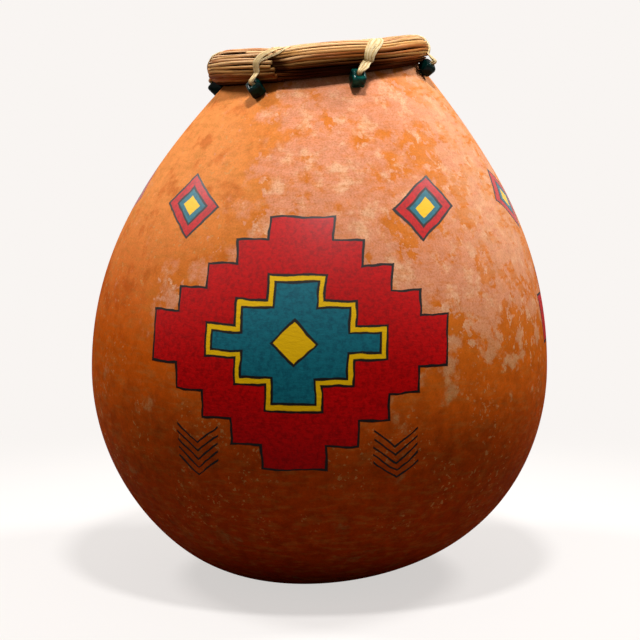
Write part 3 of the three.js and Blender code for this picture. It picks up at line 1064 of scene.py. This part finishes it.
def stem_path(layer, place_round, is_outer):
    """A stem's angles round the rim, and its distances and angles from the bundle's middle line."""
    splice = SPLICE + (SPLICE_ON_TOP - SPLICE) * smooth(math.sin(place_round), *TOP_STEMS)
    start = splice - OVERLAP - random_stems.uniform(0, START_RAGGED)
    end = splice + math.tau + random_stems.uniform(-1, 1) * SPLICE_RAGGED
    end = end if is_outer else end - INNER_SHORT
    angle = start + along_stem * (end - start)
    around = place_round + BUNDLE_TURN * (angle - SPLICE) / math.tau + slow_wave(WANDER_ROUND)
    tucked = TUCK + (TUCK_ON_TOP - TUCK) * smooth(abs(np.sin(around)), *TOP_AND_FOOT)
    rising = smooth(angle, splice + RISE_FROM, splice + RISE_TO)
    share = layer * (tucked + (1 - tucked) * rising) + slow_wave(WANDER_OUT)
    share = share + random_stems.uniform(-PROUD, PROUD)
    return angle, share * bundle_radius(angle), around


print("stems: laid from", round(math.degrees(SPLICE - OVERLAP), 1), "degrees, once round")

# %% Stems
# Each layer's share of the bundle's radius, its number of stems and how much of their room they fill
STEM_LAYERS = ((0.905, 28, 1.0), (0.73, 23, 1.05), (0.5, 15, 1.05), (0.24, 7, 1.0))
STEM_SIDES = 10
STEM_WIDTHS = (0.62, 1.25)
STEM_FLATNESS = (0.72, 1.0)
STEM_UNEVEN = 0.1
STEM_ASTRAY = 0.17
# The inner stems, seen only in the gaps, get dark tones as painted shade there
OUTER_TONES, INNER_SHADE_TONES = (0.25, 1), (0, 0.3)


def rings_round(path, across, through, sides, uneven=1.0):
    """Rings of points round a path. At each of its points two vectors reach to the ring's sides."""
    corner = round_turn(sides)
    wide = (uneven * np.cos(corner))[None, :, None] * across[:, None]
    high = (uneven * np.sin(corner))[None, :, None] * through[:, None]
    return path[:, None] + wide + high


def stem_rings(layer, place_round, half_width, is_outer):
    """Rings of points along one stem."""
    angle, distance, around = stem_path(layer, place_round, is_outer)
    middle = near_bundle(angle, distance, around)
    radial = outward(angle) * np.cos(around)[:, None] + np.sin(around)[:, None] * UP
    way = unit(np.gradient(middle, axis=0))
    across = unit(np.cross(way, radial))
    uneven = 1 + random_stems.uniform(-STEM_UNEVEN, STEM_UNEVEN, STEM_SIDES)
    width = half_width * bundle_radius(angle) / BUNDLE_RADIUS * (1 + slow_wave(WANDER_WIDTH))
    inward = np.cross(way, across) * random_stems.uniform(*STEM_FLATNESS)
    return rings_round(middle, across * width[:, None], inward * width[:, None], STEM_SIDES, uneven)


def all_stems():
    """Every stem's rings and tone, from the outer layer inwards. The hidden stems get darker tones as
    painted shade.
    """
    made = []
    for number, (layer, count, fullness) in enumerate(STEM_LAYERS):
        is_outer = number == 0
        pitch = math.tau / count
        snug = fullness * layer * BUNDLE_RADIUS * math.sin(pitch / 2)
        shift = random_stems.uniform(0, pitch)
        for k in range(count):
            half_width = snug * random_stems.uniform(*STEM_WIDTHS)
            place_round = shift + pitch * (k + random_stems.uniform(-STEM_ASTRAY, STEM_ASTRAY))
            tone = random_stems.uniform(*(OUTER_TONES if is_outer else INNER_SHADE_TONES))
            made.append((stem_rings(layer, place_round, half_width, is_outer), tone))
    return made


stems, stem_tones = zip(*all_stems())
print("stems:", len(stems))


# %% Stem bundle
def all_points(tubes):
    """The points of many tubes in one list."""
    return np.concatenate([rings.reshape(-1, 3) for rings in tubes])


def join_tubes(name, tubes, tones):
    """One piece from many closed tubes. Each point keeps its tube's tone and its place on the tube."""
    faces, tone_of, fibre_of = [], [], []
    start = 0
    for rings, tone in zip(tubes, tones):
        rows, sides = rings.shape[:2]
        faces += [*grid_faces(rows, sides, start), *end_loops(rows, sides, start)]
        along = np.repeat(path_length(rings.mean(axis=1)), sides) / MM
        corner = np.tile(round_turn(sides), rows)
        fibre_of.append(np.stack((np.cos(corner), np.sin(corner), along), axis=1))
        tone_of.append(np.full(rows * sides, tone))
        start += rows * sides
    mesh = bpy.data.meshes.new(name)
    mesh.from_pydata(from_rim(all_points(tubes)).tolist(), [], faces)
    write_points(mesh, "tone", np.concatenate(tone_of))
    write_points(mesh, "fibre", np.vstack(fibre_of))
    mesh.polygons.foreach_set("use_smooth", [len(face) == 4 for face in faces])
    return add_object(name, mesh)


stem_bundle = join_tubes("stem_bundle", stems, stem_tones)
print("stem bundle:", len(stem_bundle.data.polygons), "faces")

# %% [markdown]
# ## The stems' finish
# Dried stems run from chestnut over tan to straw, some still a little green, with fine streaks along them
# and a low gloss. The tone that each stem carries picks its colour. A noise that is stretched along the
# stem gives the streaks, so that they follow every bend. The hollows between the stems and the bundle's
# underside get painted shade, deepest at the front, and its top, more so on the left, gets a painted
# highlight, so each point also says how much painted shade and painted highlight it takes.

# %% Painted shade and highlight on the stems
# Shares of the bundle's radius between which hollows end
HOLLOW = (0.82, 0.97)
# Depths or heights on the bundle's round section, from -1 to 1, where the painted shade and highlight begin
# and are full
UNDER = (-0.85, 0.55)
AT_SEAT = (0.3, 0.95)
HIGHLIGHT_HEIGHTS = (0.3, 0.9)
# Cosines of the angle to a side where that side begins and is reached
DEEP_SHADE_REACH = (0.72, 0.98)
HIGHLIGHT_SIDE_REACH = (0.3, 0.9)
# Where painted shade underneath is deepest and the share of it elsewhere; where painted highlight is more
DEEP_SHADE_SIDE = math.radians(8)
SHADE_ELSEWHERE = 0.35
HIGHLIGHT_SIDE = math.radians(-62)
HIGHLIGHT_SIDE_SHARE = 0.45


def stem_painted_light(points):
    """Painted shade on a point, between stems and underneath, and painted highlight on top: both 0 to 1."""
    angle, distance, around = place_on_bundle(points)
    height = np.sin(around)
    hollow = 1 - smooth(distance / bundle_radius(angle), *HOLLOW)
    deep_shade = smooth(np.cos(angle - DEEP_SHADE_SIDE), *DEEP_SHADE_REACH)
    under = smooth(-height, *UNDER) * (SHADE_ELSEWHERE + (1 - SHADE_ELSEWHERE) * deep_shade)
    side_highlight = HIGHLIGHT_SIDE_SHARE * smooth(np.cos(angle - HIGHLIGHT_SIDE), *HIGHLIGHT_SIDE_REACH)
    shaded = np.maximum.reduce((hollow, under, smooth(-height, *AT_SEAT)))
    return shaded, smooth(height + side_highlight, *HIGHLIGHT_HEIGHTS) * (1 - hollow)


stem_points = all_points(stems)
# Painted shade and painted highlight, kept on the points for the stems' finish
shaded, painted_highlight = stem_painted_light(stem_points)
write_points(stem_bundle.data, "painted_shade", shaded)
write_points(stem_bundle.data, "painted_highlight", painted_highlight)
print("stem bundle:", round(100 * float((shaded > 0.5).mean())), "% of the points lie sheltered")

# %% Stem finish
CHESTNUT = srgb(92, 42, 11)
TAN = srgb(192, 110, 46)
STRAW = srgb(244, 180, 102)
DULL_GREEN = srgb(138, 110, 60)
PALE_STREAK = srgb(246, 186, 112)
BROWN_STREAK = srgb(104, 54, 22)
DARK_STREAK = srgb(52, 22, 6)
# The colours of the painted highlight and the painted shade
HIGHLIGHT_STRAW = srgb(255, 210, 160)
SHADE_BROWN = srgb(44, 17, 6)
GREEN_PICK = 7.3
SHIFT_ROUND, SHIFT_ALONG = 31, 17
# How far streaks are drawn out, in millimetres, and how fine they are round a stem
FINE_STREAKS = (12, 2.2)
BROAD_STREAKS = (26, 0.5)
STEM_RELIEF = 0.2 * MM
WAX = 0.14


def streaks_along(tree, tone, stretch, fineness):
    """A noise that changes fast round a fibre and slowly along it, and is another one for each tone."""
    x, y, along = split(attribute(tree, "fibre", "Vector"))
    place = gather(x * fineness + tone * SHIFT_ROUND, y * fineness, along / stretch + tone * SHIFT_ALONG)
    return cloud(place, 1, 4, 0.6)


def stem_finish():
    """Dried stems, each in its own tone, with painted shade and highlight, and a waxy gloss where no shade
    is painted.
    """
    wax = {"Roughness": 0.5, "Specular_IOR_Level": 0.0, "Coat_Roughness": 0.3, "Coat_IOR": 1.5}
    material, tree, shader = new_finish("dried_stems", **wax)
    tone, painted_highlight, painted_shade = (attribute(tree, name, "Fac") for name in ("tone", "painted_highlight", "painted_shade"))
    fine = streaks_along(tree, tone, *FINE_STREAKS)
    broad = streaks_along(tree, tone, *BROAD_STREAKS)
    colour = layered(
        CHESTNUT,
        (tone.rise(0.1, 0.55), TAN),
        (tone.rise(0.55, 0.95), STRAW),
        ((tone * GREEN_PICK).wrap(0, 1).rise(0.66, 0.8) * 0.5, DULL_GREEN),
        (broad.rise(0.52, 0.68) * 0.6, PALE_STREAK),
        (broad.rise(0.46, 0.3) * 0.7, BROWN_STREAK),
        # Painted highlight on top of the bundle
        (painted_highlight * broad.rise(0.36, 0.6) * 0.65, HIGHLIGHT_STRAW),
        (fine.rise(0.46, 0.3) * 0.75, DARK_STREAK),
        # Painted shade in the hollows and underneath
        (painted_shade * 0.97, SHADE_BROWN),
    )
    set_sockets(shader, Base_Color=colour, Coat_Weight=(1 - painted_shade) * WAX)
    relief(shader, fine, STEM_RELIEF)
    return material


rim_stems = [name for name in frame["nodes"] if name.startswith("rim_stem_")]
dress(stem_bundle, "vessel", "stem", ["stem_core", *rim_stems], stem_finish())
print("stem bundle: stands for", 1 + len(rim_stems), "nodes")

# %% [markdown]
# ## The lashings
# A lashing is a strip of split sinew. It comes out of the wall through the bead as a round cord, spreads
# into a flat band over the bundle, and goes down inside to its knot. A band with a fibre texture would
# look like tape, so each lashing is made of a dozen thin strands that share one middle line, lie side by
# side where the band is flat, and gather in the bead. A taut band rests on the stems that stand out and
# bridges the rest, so the stems are first mapped: how far out they reach, in cells round the rim and round
# the bundle.

# %% Reach of the stems
RIM_CELLS = 150
ROUND_CELLS = 60


def reach_map():
    """How far the stems reach from the bundle's middle line in each cell, with the hollows bridged."""
    halfway = all_points([(rings[1:] + rings[:-1]) / 2 for rings in stems])
    angle, distance, around = place_on_bundle(np.concatenate((stem_points, halfway)))
    column = np.floor(angle / math.tau * RIM_CELLS).astype(int) % RIM_CELLS
    row = np.floor(around / math.tau * ROUND_CELLS).astype(int) % ROUND_CELLS
    cells = np.zeros((RIM_CELLS, ROUND_CELLS))
    np.maximum.at(cells, (column, row), distance)
    for blend, axis in ((np.max, 1), (np.mean, 1), (np.mean, 0)):
        cells = blend([np.roll(cells, step, axis) for step in (-1, 0, 1)], axis=0)
    return cells


stem_reach = reach_map()


def reach_at(angle, around):
    """The same at any place, blended between the four nearest cells."""
    column = np.asarray(angle) / math.tau * RIM_CELLS - 0.5
    row = np.asarray(around) / math.tau * ROUND_CELLS - 0.5
    left, low = np.floor(column).astype(int), np.floor(row).astype(int)
    right_share, high_share = column - left, row - low
    total = 0
    for i, share in ((left, 1 - right_share), (left + 1, right_share)):
        for j, part in ((low, 1 - high_share), (low + 1, high_share)):
            total = total + share * part * stem_reach[i % RIM_CELLS, j % ROUND_CELLS]
    return total


print("stems: reach out", (stem_reach.max() / MM).round(1), "mm at most")

# %% Lashing paths
# For each lashing: half the band's width on top of the bundle, what share of the way round to its crest it
# has gone where it meets the bundle, and how late it goes the rest
CREST_WIDTHS = np.array((2.7, 2.2, 3.9, 2.7, 2.5, 2.9)) * MM
SWING_STARTS = (0.3, 0.14, 0.37, 0.4, 0.3, 0.2)
SWING_DELAYS = (1.0, 3.5, 2.2, 1.0, 1.4, 1.8)
BACK_SWING = 0.25
DOWN_SWING = 0.55
OVER_BUNDLE = np.radians(np.arange(-15, 175, 12))
SEAT_GAP = 0.35 * MM
CORD_FILL = 0.85
CORD_TAIL = 0.7 * MM
KNOT_RADIUS = 2.6 * MM
BAND_DEPTH = 0.3 * MM
BAND_FOOT = 0.74
SPREAD_AT = 0.5
SPREAD_WIDTH = 0.85
GATHERED_DEPTH = 0.5 * MM
INNER_GAP = 0.8 * MM
INNER_WIDTH = 2.3 * MM


def lashing_stations(cord, crest, crest_width, swing_start, delay):
    """Points of a lashing's middle line, half its width and depth there, and whether it rests on stems."""
    hole = angle_of(to_rim(on_cord(cord, BEAD_STAND)) - ring_middle)
    to_crest = shorter_way(crest - hole)
    half_cord = CORD_FILL * CORD_RADIUS
    bead_top = BEAD_STAND + BEAD_SIZE / 2
    straight = (-WALL - CORD_TAIL, -WALL / 2, SEAT_GAP, BEAD_STAND, bead_top, bead_top + CORD_RADIUS)
    stations = [(to_rim(on_cord(cord, distance)), half_cord, half_cord, 0) for distance in straight]
    over = []
    lowest = math.sin(OVER_BUNDLE[0])
    for around in OVER_BUNDLE:
        risen = (math.sin(min(around, math.pi / 2)) - lowest) / (1 - lowest)
        passed = max(0.0, around / (math.pi / 2) - 1)
        swing = swing_start + (1 - swing_start) * risen**delay - BACK_SWING * passed**2
        angle = hole + to_crest * swing
        point = near_bundle(angle, reach_at(angle, around), around)
        over.append((point, crest_width * (BAND_FOOT + (1 - BAND_FOOT) * risen), BAND_DEPTH, 1))
    cord_end = stations[-1][0]
    foot, foot_width, *_ = over[0]
    spread = cord_end + SPREAD_AT * (foot - cord_end)
    down = hole + to_crest * DOWN_SWING
    inner_edge = np.linalg.norm(rim_edge(inner_outline, down)[:2])
    inner_side = np.dot(near_bundle(down, bundle_radius(down), math.pi), outward(down))
    inner_turn = (min(inner_edge, inner_side) - INNER_GAP) * outward(down)
    knot = to_rim(on_cord(cord, -WALL - CORD_TAIL - SEAT_GAP - KNOT_RADIUS))
    knot_edge = knot + KNOT_RADIUS * unit(inner_turn - knot)
    stations += [(spread, SPREAD_WIDTH * foot_width, GATHERED_DEPTH, 0), *over]
    stations += [(inner_turn, INNER_WIDTH, BAND_DEPTH, 0), (knot_edge, CORD_RADIUS, GATHERED_DEPTH, 0)]
    return stations, knot


bands = zip(cords, CREST_ANGLES, CREST_WIDTHS, SWING_STARTS, SWING_DELAYS)
lashing_paths, knots = zip(*[lashing_stations(*band) for band in bands])
print("lashings:", len(lashing_paths), "paths of", len(lashing_paths[0]), "stations")

# %% Lashing strands
STRANDS = 12
STRAND_DEPTH = 0.28 * MM
STRAND_SIDES = 7
LASH_STEPS = 140
# How far the last few strands stray from the band on top of the bundle, and where along it they do
STRAYS = 3
FORKS = np.array((0.6, 2.6, -0.6, 0.5, 1.2, -1.0)) * MM
FORK_FROM, FORK_TO = 0.38, 0.6
# Where a band counts as flat, by its width over its depth, and how much of it the strands fill
FLAT_BAND = (1.2, 4)
BAND_FILL = 0.92
GATHERED_FILL = 0.7
# How strands vary: in wandering, depth in a flat band, width, thickness and lift off the stems
STRAND_WANDER = 0.05
WANDER_SPEEDS = (8, 26)
FLAT_DEPTHS = (-0.25, 0.45)
STRAND_WIDTHS = (1.15, 1.6)
STRAND_THICKNESSES = (0.85, 1.2)
STRAND_LIFTS = (0.5, 1.1)
random_strands = np.random.default_rng(23)


def smooth_path(points, place_along):
    """Points of a curve through the given points, at places counted along them."""
    padded = np.vstack((2 * points[0] - points[1], points, 2 * points[-1] - points[-2]))
    k = np.minimum(place_along.astype(int), len(points) - 2)
    t = (place_along - k)[:, None]
    before, here, after, beyond = (padded[k + i] for i in range(4))
    return 0.5 * (
        2 * here
        + (after - before) * t
        + (2 * before - 5 * here + 4 * after - beyond) * t**2
        + (3 * here - before - 3 * after + beyond) * t**3
    )


def strand_tubes(stations, fork):
    """Rings of points for each strand of one lashing. The last few strands leave the band by the fork."""
    points, *sizes = (np.array(column) for column in zip(*stations))
    place_along = np.linspace(0, len(points) - 1, LASH_STEPS)
    half_width, half_depth, rests = (np.interp(place_along, np.arange(len(points)), size) for size in sizes)
    resting = smooth(rests, 0, 1)[:, None]
    middle = smooth_path(points, place_along)
    way = unit(np.gradient(middle, axis=0))
    across = outward(angle_of(middle) + math.pi / 2)
    across = unit(across - (across * way).sum(axis=1)[:, None] * way)
    through = np.cross(way, across)
    flatness = smooth(half_width / half_depth, *FLAT_BAND)
    t = np.linspace(0, 1, LASH_STEPS)
    forking = fork * smooth(t, FORK_FROM, FORK_TO) * smooth(t, 1, FORK_TO)
    tubes = []
    for k in range(STRANDS):
        share = (2 * k + 1) / STRANDS - 1
        wander = np.sin(t * random_strands.uniform(*WANDER_SPEEDS) + random_strands.uniform(*ANY_PHASE))
        sideways = (share + STRAND_WANDER * wander) * half_width * BAND_FILL
        if k >= STRANDS - STRAYS:
            sideways = sideways + forking
        gathered = math.sqrt(1 - share**2) * (1 if k % 2 else -1) * GATHERED_FILL
        depth = gathered * (1 - flatness) + random_strands.uniform(*FLAT_DEPTHS) * flatness
        centre = middle + across * sideways[:, None] + through * (depth * half_depth)[:, None]
        wide = half_width / STRANDS * random_strands.uniform(*STRAND_WIDTHS)
        thick = STRAND_DEPTH * random_strands.uniform(*STRAND_THICKNESSES)
        angle, _, around = place_on_bundle(centre)
        lifted = reach_at(angle, around) + thick * random_strands.uniform(*STRAND_LIFTS)
        centre = centre + (near_bundle(angle, lifted, around) - centre) * resting
        wide = np.maximum(wide, thick)[:, None]
        tubes.append(rings_round(centre, across * wide, through * thick, STRAND_SIDES))
    return tubes


print("lashings:", STRANDS, "strands each")

# %% Lashings
SINEW_TAN = srgb(206, 171, 110)
SINEW_CREAM = srgb(240, 220, 172)
SINEW_GOLD = srgb(150, 108, 56)
SINEW_STREAKS = (9, 1.6)
SINEW_RELIEF = 0.12 * MM


def sinew_finish():
    """Pale waxed fibres, golden in the hollows."""
    material, tree, shader = new_finish("waxed_sinew", Roughness=0.5, Specular_IOR_Level=0.25)
    tone = attribute(tree, "tone", "Fac")
    streaks = streaks_along(tree, tone, *SINEW_STREAKS)
    hollows = streaks.rise(0.5, 0.3) * 0.7
    set_sockets(shader, Base_Color=layered(SINEW_TAN, (tone, SINEW_CREAM), (hollows, SINEW_GOLD)))
    relief(shader, streaks, SINEW_RELIEF)
    return material


waxed_sinew = sinew_finish()
for number, (stations, fork) in enumerate(zip(lashing_paths, FORKS), start=1):
    tubes = strand_tubes(stations, fork)
    lashing = join_tubes(f"sinew_lashing_{number}", tubes, random_strands.uniform(0, 1, len(tubes)))
    dress(lashing, "vessel", "sinew", [f"lashing_{number}"], waxed_sinew)
    print(lashing.name, "has", len(lashing.data.polygons), "faces")

# %% [markdown]
# ## The knots inside
# Behind the wall each lashing is tied off. The knot is a real one, a trefoil: a tube that follows a
# knotted curve with a formula, thick enough to close up, with two short cut tails.

# %% Knots
KNOT_STEPS = 96
KNOT_SIDES = 8
KNOT_TUBE = 0.85 * MM
TREFOIL_RADIUS = 3
TREFOIL_HEIGHT = 1.4
TAIL_RADIUS = 0.55 * MM
TAIL_LENGTH = 4.5 * MM
TAIL_STEPS = 14
# Each tail's way out of the knot, the way to which it bends, and how much it bends
TAIL_WAYS = ((-0.7, 0.5, -0.9), (0.8, 0.5, -0.9))
TAIL_BENDS = ((0.3, -0.7, 0), (0.3, 0.8, 0))
BEND_SHARE = 0.3
KNOT_TONES = (0.2, 0.8)
OFF_AXIS = 1e-6


def tube_along(points, radius):
    """Rings of points round a path. A hair's breadth keeps the ways across it from vanishing."""
    way = unit(np.gradient(points, axis=0))
    side = unit(np.cross(way, points - points.mean(axis=0) + OFF_AXIS))
    return rings_round(points, radius * side, radius * np.cross(side, way), KNOT_SIDES)


def knot_tubes(middle, axis):
    """A trefoil round the cord's axis, and the two tails that leave it."""
    t = np.linspace(0, math.tau, KNOT_STEPS)
    reach = 2 + np.cos(3 * t)
    trefoil = (reach * np.cos(2 * t), reach * np.sin(2 * t), TREFOIL_HEIGHT * np.sin(3 * t))
    scale = (KNOT_RADIUS - KNOT_TUBE) / TREFOIL_RADIUS
    turn_to = np.array(stood_along(axis))
    tubes = [tube_along(middle + scale * np.stack(trefoil, axis=1) @ turn_to.T, KNOT_TUBE)]
    s = np.linspace(0, 1, TAIL_STEPS)[:, None]
    for way, bend in zip(TAIL_WAYS, TAIL_BENDS):
        path = s * (turn_to @ np.array(way)) + BEND_SHARE * s**2 * (turn_to @ np.array(bend))
        tubes.append(tube_along(middle + TAIL_LENGTH * path, TAIL_RADIUS))
    return tubes


for number, (cord, knot) in enumerate(zip(cords, knots), start=1):
    tubes = knot_tubes(knot, cord["rim_axis"])
    tied = join_tubes(f"sinew_knot_{number}", tubes, random_strands.uniform(*KNOT_TONES, len(tubes)))
    dress(tied, "vessel", "sinew", [f"knot_{number}"], waxed_sinew)
print("knots:", len(knots))

# %% [markdown]
# ## The beads
# Each bead is a small block of dark green stone, tumbled until its edges are round, with a hole bored
# through. A cube with a bevel gives the block; each bead is then made a little uneven, so that no two are
# alike. It turns on its cord, so it rides on its own body of the frame and not on the vessel.

# %% Stone
BEAD_ROUNDINGS = np.array((1.6, 1.4, 1.3, 2.4, 1.7, 2.1)) * MM
# Each bead's tone: partly the stone's own colour, partly painted shade for how dark it looks where it hangs
BEAD_TONE_AND_SHADE = (0.08, 0.22, 0.8, 0.1, 0.5, 0.3)
BEVEL_STEPS = 5
BEAD_UNEVEN = (0.95, 1.0)
STONE_BLACK = srgb(0, 10, 10)
STONE_GREEN = srgb(6, 96, 86)
VEIN_SIZE = 3 * MM
STONE_RELIEF = 0.05 * MM
random_beads = np.random.default_rng(3)


def bead_mesh(name, rounding):
    """A block with round edges, a little uneven."""
    made = bmesh.new()
    bmesh.ops.create_cube(made, size=BEAD_SIZE)
    corners = made.edges[:] + made.verts[:]
    bmesh.ops.bevel(made, geom=corners, offset=rounding, segments=BEVEL_STEPS, profile=0.5, affect="EDGES")
    squeeze = random_beads.uniform(*BEAD_UNEVEN, 3)
    for vertex in made.verts:
        vertex.co = Vector(np.array(vertex.co) * squeeze)
    return mesh_from(made, name)


def bead_finish():
    """Polished dark green stone, with a darker vein here and there, and each bead's tone, partly painted
    shade.
    """
    material, tree, shader = new_finish("dark_green_stone", Roughness=0.1, Specular_IOR_Level=0.08)
    veins = cloud(place_on_object(tree), VEIN_SIZE, 4, 0.6)
    green = veins.rise(0.3, 0.65) * attribute(tree, "tone", "Fac")
    set_sockets(shader, Base_Color=mix(green, STONE_BLACK, STONE_GREEN))
    relief(shader, veins, STONE_RELIEF)
    return material


green_stone = bead_finish()
print("stone:", len(green_stone.node_tree.nodes), "shader nodes")

# %% Beads
BORE_RADIUS = CORD_RADIUS + 0.4 * MM
BEAD_STEP = math.radians(45)

beads = zip(cords, BEAD_ROUNDINGS, BEAD_TONE_AND_SHADE)
for number, (cord, rounding, tone) in enumerate(beads, start=1):
    bead = add_object(f"stone_{number}", bead_mesh(f"stone_{number}", rounding))
    drill(bead, BORE_RADIUS, 2 * BEAD_SIZE, [Matrix.Identity(4)])
    spin = Matrix.Rotation(cord["angle"] + (number - 1) * BEAD_STEP, 3, "Z")
    turned = rim_matrix.to_3x3() @ stood_along(cord["rim_axis"]) @ spin
    bead.data.transform(Matrix.Translation(cord["middle"]) @ turned.to_4x4())
    bead.data.shade_smooth()
    write_points(bead.data, "tone", np.full(len(bead.data.vertices), tone))
    dress(bead, cord["bead"], "bead", [cord["bead"]], green_stone)
print("beads:", len(cords))
